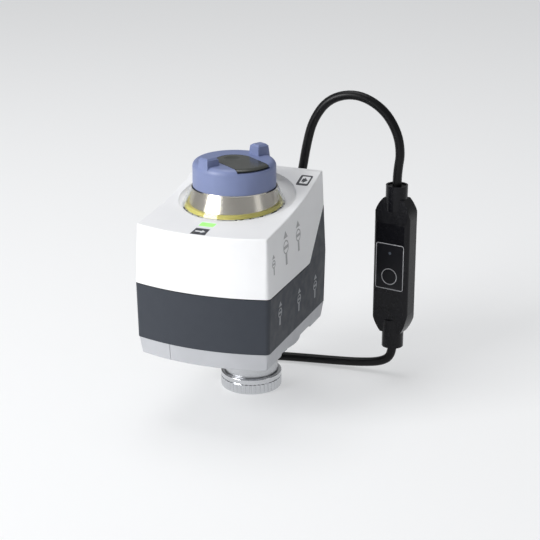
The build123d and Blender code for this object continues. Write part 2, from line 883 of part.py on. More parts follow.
# Upper plate, which carries the motor
with BuildPart() as motor_plate:
    with BuildSketch(Plane.XY.offset(motor_plate_z)):
        middle_x = (motor_plate_left_x + motor_plate_right_x) / 2
        middle_y = (motor_plate_front_y + motor_plate_back_y) / 2
        with Locations((middle_x, middle_y)):
            RectangleRounded(motor_plate_right_x - motor_plate_left_x,
                             motor_plate_back_y - motor_plate_front_y, plate_corner)
    extrude(amount=plate_thickness)
    add(bosses(0, limit, thin_gap), mode=Mode.SUBTRACT)
    add(drill(pillar_places, 0, limit, pillar_radius + thin_gap), mode=Mode.SUBTRACT)
    add(drill(post_places, 0, limit, small_screw_radius + running_fit),
        mode=Mode.SUBTRACT)
    add(drill([(0, 0)], 0, limit, drive_pivot_radius + running_fit), mode=Mode.SUBTRACT)
    add(drill([(0, knob_y)], 0, limit, knob_shaft_radius + running_fit),
        mode=Mode.SUBTRACT)
    add(drill([intermediate_place], 0, limit, axle_radius + press_fit),
        mode=Mode.SUBTRACT)
    add(drill([motor_place], 0, limit, motor_shaft_radius + 2 * running_fit),
        mode=Mode.SUBTRACT)
motor_plate.part.label = "motor_plate"
export_step(motor_plate.part, "parts/motor_plate.step")

# Riveted posts between the two plates, and the screws on top of them
with BuildPart() as plate_posts:
    add(drill(post_places, gear_plate_top_z, motor_plate_z - gear_plate_top_z,
              post_radius))
    add(drill(post_places, gear_plate_z, plate_thickness, post_rivet_radius))
    add(drill(post_places, motor_plate_z - screw_grip, limit,
              small_screw_radius + press_fit), mode=Mode.SUBTRACT)
plate_posts.part.label = "plate_posts"
export_step(plate_posts.part, "parts/plate_posts.step")

with BuildPart() as post_screws:
    add(screws(post_places, motor_plate_top_z, plate_thickness + screw_grip
               - screw_tip_room, small_screw_radius, small_head_radius, up=-1))
post_screws.part.label = "post_screws"
export_step(post_screws.part, "parts/post_screws.step")

# Compound gear and its axle
with BuildPart() as intermediate_gear:
    add(gear_blank(drive_pinion_teeth, gear_size, pinion_tooth, intermediate_place,
                   gear_bottom_z, wheel_bottom_z - gear_bottom_z))
    add(gear_blank(wheel_teeth, fine_size, wheel_tooth, intermediate_place,
                   wheel_bottom_z, wheel_face))
    add(drill([intermediate_place], 0, limit, axle_radius + running_fit),
        mode=Mode.SUBTRACT)
intermediate_gear.part.label = "intermediate_gear"
export_step(intermediate_gear.part, "parts/intermediate_gear.step")

with BuildPart() as intermediate_axle:
    add(drill([intermediate_place], gear_plate_z, motor_plate_top_z - gear_plate_z,
              axle_radius))
intermediate_axle.part.label = "intermediate_axle"
export_step(intermediate_axle.part, "parts/intermediate_axle.step")

# Motor, and its pinion on the shaft
with BuildPart() as motor:
    add(drill([motor_place], motor_plate_top_z, motor_height, motor_radius))
    fillet(motor.edges().filter_by(GeomType.CIRCLE), knob_round / 2)
    add(drill([motor_place], motor_plate_top_z, motor_shaft_engagement,
              motor_shaft_radius + running_fit), mode=Mode.SUBTRACT)
motor.part.label = "motor"
export_step(motor.part, "parts/motor.step")

with BuildPart() as motor_pinion:
    add(gear_blank(motor_teeth, fine_size, motor_tooth, motor_place, pinion_bottom_z,
                   pinion_face))
    add(drill([motor_place], pinion_bottom_z,
              motor_plate_top_z + motor_shaft_engagement - pinion_bottom_z
              - running_fit, motor_shaft_radius))
motor_pinion.part.label = "motor_pinion"
export_step(motor_pinion.part, "parts/motor_pinion.step")

# Shaft from the knob down to its gear, and the bush at its foot
with BuildPart() as knob_bush:
    add(drill([(0, knob_y)], gear_plate_z, plate_thickness, knob_bush_radius))
    add(drill([(0, knob_y)], gear_plate_top_z, bush_flange,
              knob_bush_radius + bush_flange_width))
    add(drill([(0, knob_y)], 0, limit, knob_shaft_radius + running_fit),
        mode=Mode.SUBTRACT)
knob_bush.part.label = "knob_bush"
export_step(knob_bush.part, "parts/knob_bush.step")

knob_bore_top = knob_bottom_z + knob_shaft_engagement
with BuildPart() as knob_shaft:
    add(drill([(0, knob_y)], gear_plate_z, knob_bore_top - gear_plate_z,
              knob_shaft_radius))
knob_shaft.part.label = "knob_shaft"
export_step(knob_shaft.part, "parts/knob_shaft.step")

with BuildPart() as knob_gear:
    add(gear_blank(knob_teeth, gear_size, knob_gear_tooth, (0, knob_y), gear_bottom_z,
                   gear_face))
    add(drill([(0, knob_y)], 0, limit, knob_shaft_radius + press_fit),
        mode=Mode.SUBTRACT)
knob_gear.part.label = "knob_gear"
export_step(knob_gear.part, "parts/knob_gear.step")


def tongue_outline(inset):
    """The round-ended tongue in the knob's top, open towards the rim."""
    half = tongue_width / 2 - inset
    with BuildSketch() as shape:
        Circle(half)
        with Locations((knob_radius, 0)):
            Rectangle(2 * knob_radius, 2 * half)
    return shape.sketch.rotate(Axis.Z, tongue_angle)


def knob_tab(angle, height):
    """A finger tab that stands on the knob, with its outer end along the rim."""
    tab_length = knob_radius - tab_inner_radius
    with BuildPart() as tab:
        with BuildSketch(Plane.XY.offset(knob_top_z - knob_round)):
            with Locations((tab_inner_radius + tab_length / 2, 0)):
                Rectangle(tab_length, tab_width)
            Circle(knob_radius - tab_rim_inset, mode=Mode.INTERSECT)
        extrude(amount=height + knob_round, taper=tab_taper)
        chamfer(tab.faces().sort_by(Axis.Z)[-1].edges(), tab_round)
    return tab.part.rotate(Axis.Z, angle).translate((0, knob_y, 0))


# Hand knob with two finger tabs
knob_hub_bottom = seat_z - top_skin
with BuildPart() as manual_knob:
    add(drill([(0, knob_y)], knob_bottom_z, knob_height, knob_radius))
    fillet(manual_knob.faces().sort_by(Axis.Z)[-1].edges(), knob_round)
    for angle, height in tab_places:
        add(knob_tab(angle, height))
    with BuildSketch(Plane.XY.offset(knob_bottom_z)):
        with Locations((0, knob_y)):
            Circle(knob_radius - knob_skirt)
            Circle(knob_hub_radius, mode=Mode.SUBTRACT)
            with PolarLocations(0, knob_web_count):
                Rectangle(2 * knob_radius, knob_web, mode=Mode.SUBTRACT)
    extrude(amount=knob_height - knob_skin, mode=Mode.SUBTRACT)
    add(drill([(0, knob_y)], knob_hub_bottom, knob_bottom_z - knob_hub_bottom,
              knob_hub_radius))
    add(drill([(0, knob_y)], 0, knob_bore_top, knob_shaft_radius + press_fit),
        mode=Mode.SUBTRACT)
    with BuildSketch(Plane.XY.offset(knob_top_z - tongue_depth)):
        with Locations((0, knob_y)):
            add(tongue_outline(0))
    extrude(amount=tongue_depth, mode=Mode.SUBTRACT)
manual_knob.part.label = "manual_knob"
export_step(manual_knob.part, "parts/manual_knob.step")

# Smoked insert that lies in the tongue-shaped pocket, with a finger dip at its round end
with BuildPart() as knob_insert:
    with BuildSketch(Plane.XY.offset(knob_top_z - tongue_depth)):
        with Locations((0, knob_y)):
            add(tongue_outline(round_gap))
            Circle(knob_radius - thin_gap, mode=Mode.INTERSECT)
    extrude(amount=tongue_depth)
    with BuildSketch(Plane.XY.offset(knob_top_z - tongue_depth)):
        with Locations((0, knob_y)):
            Circle(2 * knob_radius)
            Circle(knob_radius - tongue_undercut_length, mode=Mode.SUBTRACT)
    extrude(amount=tongue_undercut, mode=Mode.SUBTRACT)
    dip_centre = polar(dip_offset, tongue_angle + 180, (0, knob_y))
    with Locations((dip_centre[0], dip_centre[1], knob_top_z - dip_depth + dip_radius)):
        Sphere(dip_radius, mode=Mode.SUBTRACT)
    with BuildPart(mode=Mode.PRIVATE) as knob_form:
        add(drill([(0, knob_y)], knob_bottom_z, knob_height, knob_radius - thin_gap))
        fillet(knob_form.faces().sort_by(Axis.Z)[-1].edges(), knob_round)
    add(knob_form.part, mode=Mode.INTERSECT)
knob_insert.part.label = "knob_insert"
export_step(knob_insert.part, "parts/knob_insert.step")


def cone_wall(foot_radius, top_radius, thickness):
    """An upright cone wall on the sloped seat, up to the top of the collar."""
    lean = (foot_radius - top_radius) / (collar_top_z - seat_z)
    low_z = seat_z - seat_slope * 2 * foot_radius
    low_radius = foot_radius + lean * (seat_z - low_z)
    with BuildPart() as cone:
        with BuildSketch(knob_section):
            with BuildLine():
                Polyline(
                    (low_radius, low_z),
                    (top_radius, collar_top_z),
                    (top_radius - thickness, collar_top_z),
                    (low_radius - thickness, low_z),
                    close=True,
                )
            make_face()
        revolve(axis=knob_axis)
        split(bisect_by=seat_plane, keep=Keep.TOP)
    return cone.part


# Clear outer cone of the collar
with BuildPart() as collar_lens:
    add(cone_wall(collar_foot_radius, collar_top_radius, lens_wall))
collar_lens.part.label = "collar_lens"
export_step(collar_lens.part, "parts/collar_lens.step")

# Bright reflector inside the lens
with BuildPart() as collar_reflector:
    add(cone_wall(reflector_foot_radius, reflector_top_radius, reflector_wall))
collar_reflector.part.label = "collar_reflector"
export_step(collar_reflector.part, "parts/collar_reflector.step")

# Yellow ring at the foot, between the reflector and the lens
with BuildPart() as indicator_ring:
    ring_foot = collar_foot_radius - lens_wall - ring_clearance
    ring_top = collar_top_radius - lens_wall - ring_clearance
    add(cone_wall(ring_foot, ring_top, ring_foot - reflector_foot_radius - ring_clearance))
    split(bisect_by=seat_plane.offset(ring_height), keep=Keep.BOTTOM)
    add(cone_wall(reflector_foot_radius + ring_clearance,
                  reflector_top_radius + ring_clearance,
                  reflector_top_radius), mode=Mode.SUBTRACT)
indicator_ring.part.label = "indicator_ring"
export_step(indicator_ring.part, "parts/indicator_ring.step")

# Circuit board on four pillars
with BuildPart() as main_board:
    with BuildSketch(Plane.XY.offset(board_z)):
        with Locations((0, (board_front_y + board_back_y) / 2)):
            RectangleRounded(2 * board_half_width, board_back_y - board_front_y,
                             plate_corner)
    extrude(amount=board_thickness)
    add(bosses(0, limit, thin_gap), mode=Mode.SUBTRACT)
    add(drill(pillar_places, 0, limit, small_screw_radius + running_fit),
        mode=Mode.SUBTRACT)
    add(drill([(0, knob_y)], 0, limit, board_shaft_hole), mode=Mode.SUBTRACT)
main_board.part.label = "main_board"
export_step(main_board.part, "parts/main_board.step")

with BuildPart() as board_pillars:
    add(drill(pillar_places, gear_plate_top_z, board_z - gear_plate_top_z,
              pillar_radius))
    add(drill(pillar_places, gear_plate_top_z - pillar_stud_length, pillar_stud_length,
              screw_radius))
    add(drill(pillar_places, board_z - screw_grip, limit,
              small_screw_radius + press_fit), mode=Mode.SUBTRACT)
board_pillars.part.label = "board_pillars"
export_step(board_pillars.part, "parts/board_pillars.step")

with BuildPart() as board_screws:
    add(screws(pillar_places, board_z + board_thickness, board_thickness + screw_grip
               - screw_tip_room, small_screw_radius, small_head_radius, up=-1))
board_screws.part.label = "board_screws"
export_step(board_screws.part, "parts/board_screws.step")

with BuildPart() as capacitors:
    add(drill(capacitor_places, board_z - capacitor_height, capacitor_height,
              capacitor_radius))
capacitors.part.label = "capacitors"
export_step(capacitors.part, "parts/capacitors.step")

with BuildPart() as relay:
    with BuildSketch(Plane.XY.offset(board_z - relay_size[2])):
        with Locations(relay_place):
            Rectangle(relay_size[0], relay_size[1])
    extrude(amount=relay_size[2])
relay.part.label = "relay"
export_step(relay.part, "parts/relay.step")

with BuildPart() as terminal_block:
    with BuildSketch(Plane.XY.offset(board_z - block_size[2])):
        with Locations(block_place):
            Rectangle(block_size[0], block_size[1])
    extrude(amount=block_size[2])
    with BuildSketch(Plane.XY.offset(board_z - block_size[2])):
        with Locations(block_place):
            with GridLocations(block_pitch, 0, block_ways, 1):
                Circle(block_hole_radius)
    extrude(amount=block_hole_depth, mode=Mode.SUBTRACT)
terminal_block.part.label = "terminal_block"
export_step(terminal_block.part, "parts/terminal_block.step")

# Light on the board and the window that leads it to the top of the cover
board_top_z = board_z + board_thickness
with BuildPart() as status_led:
    with BuildSketch(Plane.XY.offset(board_top_z)):
        with Locations(window_place):
            Rectangle(led_size[0], led_size[1])
    extrude(amount=led_size[2])
status_led.part.label = "status_led"
export_step(status_led.part, "parts/status_led.step")

window_top_z = seat_z + seat_slope * (window_place[1] - knob_y)
window_bottom_z = board_top_z + led_size[2] + thin_gap
with BuildPart() as status_window:
    with BuildSketch(Plane.XY.offset(window_bottom_z)):
        with Locations(window_place):
            Rectangle(window_size[0], window_size[1])
    extrude(amount=top_skin + window_top_z - window_bottom_z)
    add(under_top(0), mode=Mode.INTERSECT)
    with BuildSketch(Plane.XY.offset(window_top_z - 2 * top_skin)):
        with Locations(window_place):
            Rectangle(window_size[0] + 2 * window_flange,
                      window_size[1] + 2 * window_flange)
    extrude(amount=top_skin / 2)
status_window.part.label = "status_window"
export_step(status_window.part, "parts/status_window.step")

# Blanking plug in the large cable entry
with BuildPart() as entry_plug:
    add(drill([entry_place], pad_bottom_z - entry_flange, entry_flange,
              entry_flange_radius))
    add(drill([entry_place], pad_bottom_z, floor_top_z + entry_inside - pad_bottom_z,
              entry_radius))
    with BuildSketch(Plane.XY.offset(pad_bottom_z - entry_flange)):
        with Locations(entry_place):
            Rectangle(entry_slot[0], entry_slot[1])
    extrude(amount=entry_flange, mode=Mode.SUBTRACT)
entry_plug.part.label = "entry_plug"
export_step(entry_plug.part, "parts/entry_plug.step")

# Gland of the actuator's own cable, pointing down from the base
with BuildPart() as cable_gland:
    add(drill([gland_place], pad_bottom_z - gland_flange, gland_flange,
              gland_flange_radius))
    add(drill([gland_place], pad_bottom_z, floor_top_z + gland_inside - pad_bottom_z,
              gland_radius))
    with BuildSketch(Plane.XY.offset(pad_bottom_z - gland_flange)):
        with Locations(gland_place):
            Circle(gland_radius)
    with BuildSketch(Plane.XY.offset(pad_bottom_z - gland_length)):
        with Locations(gland_place):
            Circle(gland_tip_radius)
    loft()
cable_gland.part.label = "cable_gland"
export_step(cable_gland.part, "parts/cable_gland.step")


# The module stands upright, turned a little about its own axis
module_across = polar(1, module_turn)
module_back = polar(1, module_turn + 90)
module_front = (-module_back[0], -module_back[1])
module_middle_z = (label_bottom_z + label_top_z) / 2


def module_level(height):
    """A level plane on the module's axis."""
    return Plane(origin=(module_x, module_y, height), x_dir=(*module_across, 0),
                 z_dir=(0, 0, 1))


def module_face(depth):
    """An upright plane that faces the module's front, at this depth from its axis."""
    return Plane(
        origin=(module_x + depth * module_front[0], module_y + depth * module_front[1], 0),
        x_dir=(*module_across, 0),
        z_dir=(*module_front, 0),
    )


def module_body(inset):
    """The outer form of the module without its collars, moved inwards by inset."""
    half = module_width / 2 - inset
    neck_half = module_collar_radius - inset
    bottom = module_bottom_z + module_collar_bottom + inset
    top = module_top_z - module_collar_top - inset
    low = bottom + module_shoulder_bottom
    high = top - module_shoulder_top
    bulge = module_shoulder_bulge
    middle = (half + neck_half) / 2
    deep = module_depth / 2 - inset
    thin = module_shoulder_depth / 2 - inset
    with BuildPart() as body:
        with BuildSketch(module_level(bottom)):
            RectangleRounded(2 * half, 2 * deep, module_edge - inset / 2)
        extrude(amount=top - bottom)
        with BuildSketch(module_face(0)):
            with BuildLine():
                ThreePointArc((neck_half, bottom), (middle + bulge, (bottom + low) / 2 - bulge),
                              (half, low))
                Line((half, low), (half, high))
                ThreePointArc((half, high), (middle + bulge, (high + top) / 2 + bulge),
                              (neck_half, top))
                Line((neck_half, top), (-neck_half, top))
                ThreePointArc((-neck_half, top), (-middle - bulge, (high + top) / 2 + bulge),
                              (-half, high))
                Line((-half, high), (-half, low))
                ThreePointArc((-half, low), (-middle - bulge, (bottom + low) / 2 - bulge),
                              (-neck_half, bottom))
                Line((-neck_half, bottom), (neck_half, bottom))
            make_face()
        extrude(amount=module_depth, both=True, mode=Mode.INTERSECT)
        side = Plane(origin=(module_x, module_y, 0), x_dir=(*module_back, 0),
                     z_dir=(*module_across, 0))
        with BuildSketch(side):
            with BuildLine():
                Polyline((thin, bottom), (deep, low), (deep, high), (thin, top),
                         (-thin, top), (-deep, high), (-deep, low), (-thin, bottom),
                         close=True)
            make_face()
        extrude(amount=module_width, both=True, mode=Mode.INTERSECT)
    return body.part


module_axis_place = (module_x, module_y)
module_inner_top = module_top_z - module_collar_top - module_shoulder_top
module_inner_bottom = module_bottom_z + module_collar_bottom + module_shoulder_bottom
module_low_collar_top = module_inner_bottom - module_shoulder_bottom / 2
module_high_collar_bottom = module_inner_top + module_shoulder_top / 2
grommet_radius = module_collar_radius - collar_lip
module_half_depth = module_depth / 2
module_screw_places = [
    (x, z) for x in (-module_screw_x, module_screw_x) for z in module_screw_z
]
button_back = module_half_depth - module_wall - button_flange - running_fit


def module_shell():
    """Both halves of the module's case in one, hollow, with all its holes."""
    with BuildPart() as shell:
        add(module_body(0))
        add(drill([module_axis_place], module_bottom_z,
                  module_low_collar_top - module_bottom_z, module_collar_radius))
        add(drill([module_axis_place], module_high_collar_bottom,
                  module_top_z - module_high_collar_bottom, module_collar_radius))
        with BuildSketch(module_level(module_inner_bottom)):
            Rectangle(module_width - 2 * module_wall, module_depth - 2 * module_wall)
        extrude(amount=module_inner_top - module_inner_bottom, mode=Mode.SUBTRACT)
        add(drill([module_axis_place], module_bottom_z, module_collar_bottom,
                  grommet_radius), mode=Mode.SUBTRACT)
        add(drill([module_axis_place], module_top_z - module_collar_top,
                  module_collar_top, grommet_radius), mode=Mode.SUBTRACT)
        add(drill([module_axis_place], module_bottom_z, module_top_z - module_bottom_z,
                  module_wire_radius), mode=Mode.SUBTRACT)
        with BuildSketch(module_face(0)):
            with Locations(*module_screw_places):
                Circle(module_screw_boss)
        extrude(amount=module_half_depth - module_wall / 2, both=True)
        with BuildSketch(module_face(-module_half_depth)):
            with Locations(*module_screw_places):
                Circle(small_screw_radius + press_fit)
        extrude(amount=module_screw_depth - module_half_depth, mode=Mode.SUBTRACT)
        with BuildSketch(module_face(-module_half_depth)):
            with Locations(*module_screw_places):
                Circle(small_head_radius + round_gap)
        extrude(amount=screw_head_height, mode=Mode.SUBTRACT)
        with BuildSketch(module_face(0)):
            with Locations((0, button_z)):
                Circle(button_radius + running_fit)
            with Locations((0, led_z)):
                Circle(led_radius + press_fit)
        extrude(amount=module_depth, mode=Mode.SUBTRACT)
    return shell.part


module_parting = module_face(-module_seam)

with BuildPart() as module_front_shell:
    add(module_shell())
    split(bisect_by=module_parting, keep=Keep.TOP)
module_front_shell.part.label = "module_front_shell"
export_step(module_front_shell.part, "parts/module_front_shell.step")

module_board_back = module_board_depth - module_board_thickness
with BuildPart() as module_rear_shell:
    add(module_shell())
    split(bisect_by=module_parting, keep=Keep.BOTTOM)
    with BuildSketch(module_face(module_board_back)):
        with Locations(*[(0, z) for z in module_rib_z]):
            Rectangle(module_rib_size[0], module_rib_size[1])
    extrude(amount=module_wall / 2 - module_half_depth - module_board_back)
module_rear_shell.part.label = "module_rear_shell"
export_step(module_rear_shell.part, "parts/module_rear_shell.step")

with BuildPart() as module_screws:
    with BuildSketch(module_face(screw_head_height - module_half_depth)):
        with Locations(*module_screw_places):
            Circle(small_head_radius)
    extrude(amount=-screw_head_height)
    with BuildSketch(module_face(-module_half_depth)):
        with Locations(*module_screw_places):
            Circle(small_screw_radius)
    extrude(amount=module_screw_depth - module_half_depth - screw_tip_room)
    with BuildSketch(module_face(-module_half_depth)):
        with Locations(*module_screw_places):
            Rectangle(2 * small_head_radius, slot_width)
    extrude(amount=slot_depth, mode=Mode.SUBTRACT)
module_screws.part.label = "module_screws"
export_step(module_screws.part, "parts/module_screws.step")

# Label panel on the front, with a hole round the button and one for the light
with BuildPart() as module_label:
    with BuildSketch(module_face(module_half_depth)):
        with Locations((0, module_middle_z)):
            RectangleRounded(label_width, label_top_z - label_bottom_z, label_corner)
        with Locations((0, button_z)):
            Circle(button_ring_radius, mode=Mode.SUBTRACT)
        with Locations((0, led_z)):
            Circle(led_radius + press_fit, mode=Mode.SUBTRACT)
    extrude(amount=label_proud)
module_label.part.label = "module_label"
export_step(module_label.part, "parts/module_label.step")

# Button, which slides through the front and has a flange behind it
with BuildPart() as module_button:
    with BuildSketch(module_face(button_back)):
        with Locations((0, button_z)):
            Circle(button_radius)
    extrude(amount=module_half_depth + button_proud - button_back)
    front_rim = module_button.faces().sort_by(Axis.Y)[0].edges()
    fillet(front_rim, button_proud / 2)
    with BuildSketch(module_face(button_back)):
        with Locations((0, button_z)):
            Circle(button_radius + button_flange_width)
    extrude(amount=button_flange)
module_button.part.label = "module_button"
export_step(module_button.part, "parts/module_button.step")

# Board in the module, with the switch behind the button
switch_front = button_back - button_travel - switch_gap
with BuildPart() as module_board:
    with BuildSketch(module_face(module_board_back)):
        with Locations((0, (module_board_bottom + module_board_top) / 2)):
            Rectangle(module_width - 2 * module_wall - 2 * module_board_margin,
                      module_board_top - module_board_bottom)
    extrude(amount=module_board_thickness)
    with BuildSketch(module_face(module_board_depth)):
        with Locations((0, button_z)):
            Rectangle(switch_size, switch_size)
    extrude(amount=switch_front - module_board_depth)
module_board.part.label = "module_board"
export_step(module_board.part, "parts/module_board.step")

with BuildPart() as module_light:
    with BuildSketch(module_face(module_board_depth)):
        with Locations((0, led_z)):
            Circle(led_radius)
    extrude(amount=module_half_depth + label_proud - module_board_depth)
module_light.part.label = "module_light"
export_step(module_light.part, "parts/module_light.step")

# Rubber plugs in the collars, where the cables go in
low_grommet_end = module_bottom_z + collar_recess
high_grommet_end = module_top_z - collar_recess
with BuildPart() as module_grommets:
    add(drill([module_axis_place], low_grommet_end,
              module_collar_bottom - collar_recess, grommet_radius))
    add(drill([module_axis_place], module_top_z - module_collar_top,
              module_collar_top - collar_recess, grommet_radius))
module_grommets.part.label = "module_grommets"
export_step(module_grommets.part, "parts/module_grommets.step")

# The cable's routes, from the gland to the module and from the module to the coil
coil_axis_place = (coil_x, coil_y)
coil_bottom_z = tie_thickness
coil_top_z = coil_bottom_z + coil_height
coil_turn_radius = coil_outer_radius - cable_radius
coil_entry = polar(coil_turn_radius, coil_entry_angle, coil_axis_place)
coil_exit = polar(coil_turn_radius, coil_exit_angle, coil_axis_place)
lead_route = [
    (*gland_place, pad_bottom_z - gland_length),
    (*gland_place, 22.5),
    (-25.9, -1.2, 12.6),
    (-24.6, 10.8, 6.2),
    (-20.4, 23.2, 3.2),
    (-11.5, 33.6, cable_radius),
    (1.5, 38.8, 2.9),
    (18.0, 41.4, 3.1),
    (37.0, 43.0, 3.7),
    (55.5, 43.7, 4.9),
    (70.0, 44.0, 7.4),
    (*module_axis_place, 13.0),
    (*module_axis_place, low_grommet_end),
]
supply_route = [
    (*module_axis_place, high_grommet_end),
    (*module_axis_place, 130.5),
    (78.3, 44.0, 142.5),
    (75.3, 44.0, 156.0),
    (66.0, 44.0, 168.9),
    (49.9, 44.0, 176.1),
    (33.0, 44.0, 171.6),
    (23.0, 44.1, 157.9),
    (18.9, 44.3, 142.0),
    (16.0, 44.7, 124.5),
    (11.8, 45.4, 107.0),
    (6.6, 46.5, 88.6),
    (1.0, 48.3, 69.4),
    (-5.0, 51.0, 50.6),
    (-10.0, 54.2, 34.2),
    (-12.7, 59.0, 21.8),
    (-14.0, 67.8, 13.1),
    (-14.25, 79.4, coil_top_z - cable_radius),
    (*coil_entry, coil_top_z - cable_radius),
]
tail_route = [
    (*coil_exit, coil_bottom_z + cable_radius),
    (-69.63, 62.04, coil_bottom_z + cable_radius),
    (-62.9, 53.4, 3.3),
    (-55.0, 47.2, cable_radius),
    (-45.7, 43.5, cable_radius),
]


def cord_path(points):
    """Straight runs between the points, joined by arcs as large as they allow."""
    spots = [Vector(*point) for point in points]
    radii = []
    for before, here, after in zip(spots, spots[1:], spots[2:]):
        run = min((here - before).length, (after - here).length)
        turn = math.radians((here - before).get_angle(after - here))
        radii.append(corner_share * run / math.tan(turn / 2))
    print("radii", [round(radius, 1) for radius in radii])
    with BuildLine() as path:
        FilletPolyline(*spots, radius=radii)
    return path.wire()


def cord_tube(points):
    """A tube of the cable's section along a route."""
    path = cord_path(points)
    with BuildPart() as tube:
        with BuildLine():
            add(path)
        with BuildSketch(path ^ 0):
            Circle(cable_radius)
        sweep()
    share = tube.part.volume / (math.pi * cable_radius**2 * path.length)
    print("length", round(path.length, 1), "volume share", round(share, 4))
    return tube.part


with BuildPart() as lead_cord:
    add(cord_tube(lead_route))
lead_cord.part.label = "lead_cord"
export_step(lead_cord.part, "parts/lead_cord.step")

with BuildPart() as supply_cord:
    add(cord_tube(supply_route))
supply_cord.part.label = "supply_cord"
export_step(supply_cord.part, "parts/supply_cord.step")

with BuildPart() as cord_tail:
    add(cord_tube(tail_route))
cord_tail.part.label = "cord_tail"
export_step(cord_tail.part, "parts/cord_tail.step")

# Coil of the spare cable, with room where the cable comes in and goes out
with BuildPart() as cord_coil:
    with BuildSketch(Plane.XY.offset(coil_bottom_z)):
        with Locations(coil_axis_place):
            Circle(coil_outer_radius)
            Circle(coil_inner_radius, mode=Mode.SUBTRACT)
    extrude(amount=coil_height)
    for start, bottom in (
        (coil_entry_angle - coil_notch, coil_top_z - cable),
        (coil_exit_angle, coil_bottom_z),
    ):
        with BuildSketch(
            Plane(origin=(coil_x, coil_y, bottom),
                  x_dir=(*polar(1, start), 0), z_dir=(0, 0, 1))
        ):
            with BuildLine():
                near = coil_outer_radius - cable
                far = 2 * coil_outer_radius
                Polyline((far, 0), (near, 0))
                RadiusArc((near, 0), polar(near, coil_notch), -near)
                Polyline(polar(near, coil_notch), polar(far, coil_notch), (far, 0))
            make_face()
        extrude(amount=cable, mode=Mode.SUBTRACT)
cord_coil.part.label = "cord_coil"
export_step(cord_coil.part, "parts/cord_coil.step")

# Strap round the coil
tie_place = polar(coil_mean_radius, tie_angle, coil_axis_place)
with BuildPart() as coil_tie:
    tie_section = Plane(origin=(*tie_place, coil_bottom_z + coil_height / 2),
                        x_dir=(*polar(1, tie_angle), 0),
                        z_dir=(*polar(1, tie_angle + 90), 0))
    with BuildSketch(tie_section):
        inside = coil_columns * cable + 2 * tie_gap
        RectangleRounded(inside + 2 * tie_thickness, coil_height + 2 * tie_thickness,
                         tie_thickness)
        Rectangle(inside, coil_height, mode=Mode.SUBTRACT)
    extrude(amount=tie_width / 2, both=True)
coil_tie.part.label = "coil_tie"
export_step(coil_tie.part, "parts/coil_tie.step")

# Bare wires at the cable's end, each with a ferrule
tail_end = Vector(*tail_route[-1])
tail_way = tail_end - Vector(*tail_route[-2])
tail_heading = math.degrees(math.atan2(tail_way.Y, tail_way.X))
tail_plane = Plane(origin=tail_end, x_dir=(*polar(1, tail_heading + 90), 0),
                   z_dir=tail_way)
with BuildPart() as cord_wires:
    for wire in range(wire_count):
        side = wire - (wire_count - 1) / 2
        turn = side * wire_spread
        wire_way = tail_plane.z_dir.rotate(Axis.Z, turn)
        clear = wire_radius * abs(math.sin(math.radians(turn)))
        wire_start = tail_plane.from_local_coords((side * wire_pitch, 0, clear))
        wire_plane = Plane(origin=wire_start, x_dir=(0, 0, 1), z_dir=wire_way)
        with BuildSketch(wire_plane):
            Circle(wire_radius)
        extrude(amount=wire_length)
        with BuildSketch(wire_plane.offset(wire_length)):
            Circle(ferrule_radius)
        extrude(amount=ferrule_length)
cord_wires.part.label = "cord_wires"
export_step(cord_wires.part, "parts/cord_wires.step")
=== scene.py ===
import math

import bpy
import bmesh
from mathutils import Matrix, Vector
from mathutils.bvhtree import BVHTree


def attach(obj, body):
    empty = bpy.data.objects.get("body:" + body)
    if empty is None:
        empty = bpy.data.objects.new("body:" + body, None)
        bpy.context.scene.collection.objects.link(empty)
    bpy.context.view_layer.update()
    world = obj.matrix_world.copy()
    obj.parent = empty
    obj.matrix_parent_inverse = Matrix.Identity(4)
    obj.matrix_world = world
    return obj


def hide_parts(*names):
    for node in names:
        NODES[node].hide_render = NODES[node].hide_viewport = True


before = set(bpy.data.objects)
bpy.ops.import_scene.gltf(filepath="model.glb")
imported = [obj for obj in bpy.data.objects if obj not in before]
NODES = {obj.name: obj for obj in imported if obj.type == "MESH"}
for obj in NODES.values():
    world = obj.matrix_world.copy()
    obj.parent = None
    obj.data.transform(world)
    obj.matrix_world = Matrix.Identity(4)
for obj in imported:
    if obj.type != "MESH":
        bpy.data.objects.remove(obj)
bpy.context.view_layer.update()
MM = 0.001

scene = bpy.context.scene
scene.view_settings.view_transform = "Standard"


def mm(point):
    """A point in millimetres as a vector in metres."""
    return Vector(point) * MM


def link(thing):
    """A new object, put in the scene."""
    scene.collection.objects.link(thing)
    return thing


# Camera at the photograph's viewing angle
CAMERA_PLACE = mm((316.5, -783.5, 376.4))
CAMERA_TARGET = mm((12.3, 0.0, 75.1))
lens = bpy.data.cameras.new("camera")
lens.lens = 100.0
lens.sensor_width = 36.0
lens.clip_start = 0.01
camera = link(bpy.data.objects.new("camera", lens))
camera.location = CAMERA_PLACE
camera.rotation_euler = (CAMERA_TARGET - CAMERA_PLACE).to_track_quat("-Z", "Y").to_euler()
scene.camera = camera

# Cable routes, with the same points as the solids
CABLE = 5.5
CABLE_RADIUS = CABLE / 2
CABLE_SMOOTHNESS = 6
GLAND_TIP = (-26.0, -8.0, 32.0)
MODULE_AXIS = (76.4, 44.0)
MODULE_LOW_END = 20.6
MODULE_HIGH_END = 121.8
COIL_CENTRE = (-48.0, 90.0)
COIL_OUTER_TURN = 33.75
COIL_INNER_TURN = 28.25
COIL_LOW = 0.8 + CABLE_RADIUS
COIL_HIGH = COIL_LOW + CABLE
COIL_END_ANGLE = 215.0 + 3 * 360.0
COIL_POINTS = 66
COIL_STEP_IN = (289.0, 345.0)
COIL_STEP_DOWN = (625.0, 681.0)
COIL_STEP_OUT = (955.0, 1011.0)

